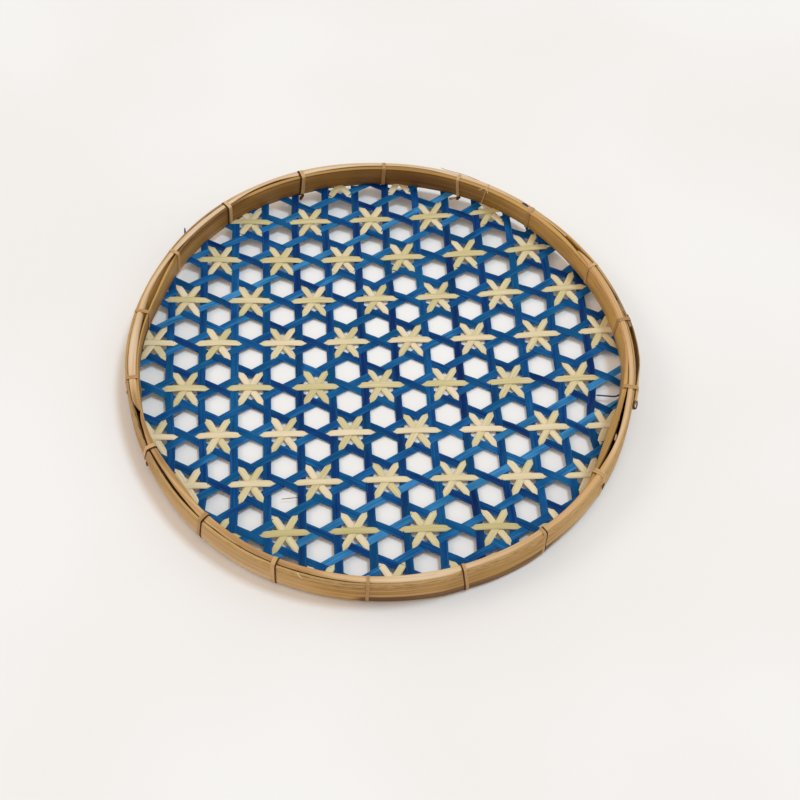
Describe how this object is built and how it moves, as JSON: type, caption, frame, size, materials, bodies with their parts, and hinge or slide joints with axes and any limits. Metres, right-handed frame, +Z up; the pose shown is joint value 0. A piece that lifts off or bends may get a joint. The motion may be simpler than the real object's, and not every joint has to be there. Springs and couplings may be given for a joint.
{
  "type": "hanging wall basket",
  "caption": "Shallow round bamboo wall basket: an open hexagonal weave of blue strips with natural star strips, held between two bent hoops lashed with split cane.",
  "frame": {"origin": "middle of the hoops, on the surface that the basket lies on", "axes": "+Z up out of the open tray; +Y towards the top of the basket as it hangs, the far side in the picture"},
  "size_m": [0.3825, 0.3847, 0.0292],
  "materials": {
    "bamboo_hoop": "bare split bamboo, satin skin with nodes",
    "inner_hoop": "bare split bamboo, satin, browner on its inner face",
    "rim_cane": "pale bare bamboo splints, satin",
    "blue_strip": "split bamboo dyed blue, uneven, satin skin side",
    "natural_strip": "undyed split bamboo, pale straw, partly greenish",
    "split_cane": "split cane, satin"
  },
  "bodies": {
    "root": {"blue_strip_left_leaning_1": "blue_strip", "blue_strip_left_leaning_10": "blue_strip", "blue_strip_left_leaning_11": "blue_strip", "blue_strip_left_leaning_12": "blue_strip", "blue_strip_left_leaning_13": "blue_strip", "blue_strip_left_leaning_14": "blue_strip", "blue_strip_left_leaning_15": "blue_strip", "blue_strip_left_leaning_2": "blue_strip", "blue_strip_left_leaning_3": "blue_strip", "blue_strip_left_leaning_4": "blue_strip", "blue_strip_left_leaning_5": "blue_strip", "blue_strip_left_leaning_6": "blue_strip", "blue_strip_left_leaning_7": "blue_strip", "blue_strip_left_leaning_8": "blue_strip", "blue_strip_left_leaning_9": "blue_strip", "blue_strip_right_leaning_1": "blue_strip", "blue_strip_right_leaning_10": "blue_strip", "blue_strip_right_leaning_11": "blue_strip", "blue_strip_right_leaning_12": "blue_strip", "blue_strip_right_leaning_13": "blue_strip", "blue_strip_right_leaning_14": "blue_strip", "blue_strip_right_leaning_15": "blue_strip", "blue_strip_right_leaning_2": "blue_strip", "blue_strip_right_leaning_3": "blue_strip", "blue_strip_right_leaning_4": "blue_strip", "blue_strip_right_leaning_5": "blue_strip", "blue_strip_right_leaning_6": "blue_strip", "blue_strip_right_leaning_7": "blue_strip", "blue_strip_right_leaning_8": "blue_strip", "blue_strip_right_leaning_9": "blue_strip", "blue_strip_upright_1": "blue_strip", "blue_strip_upright_10": "blue_strip", "blue_strip_upright_11": "blue_strip", "blue_strip_upright_12": "blue_strip", "blue_strip_upright_13": "blue_strip", "blue_strip_upright_14": "blue_strip", "blue_strip_upright_2": "blue_strip", "blue_strip_upright_3": "blue_strip", "blue_strip_upright_4": "blue_strip", "blue_strip_upright_5": "blue_strip", "blue_strip_upright_6": "blue_strip", "blue_strip_upright_7": "blue_strip", "blue_strip_upright_8": "blue_strip", "blue_strip_upright_9": "blue_strip", "inner_hoop": "inner_hoop", "lashing_1": "split_cane", "lashing_2": "split_cane", "lashing_3": "split_cane", "lashing_4": "split_cane", "lashing_5": "split_cane", "lashing_6": "split_cane", "lashing_7": "split_cane", "lashing_8": "split_cane", "lashing_9": "split_cane", "lashing_thread": "split_cane", "outer_hoop": "bamboo_hoop", "rim_cane_back": "rim_cane", "rim_cane_front": "rim_cane", "star_strips": "natural_strip"}
  },
  "joints": []
}
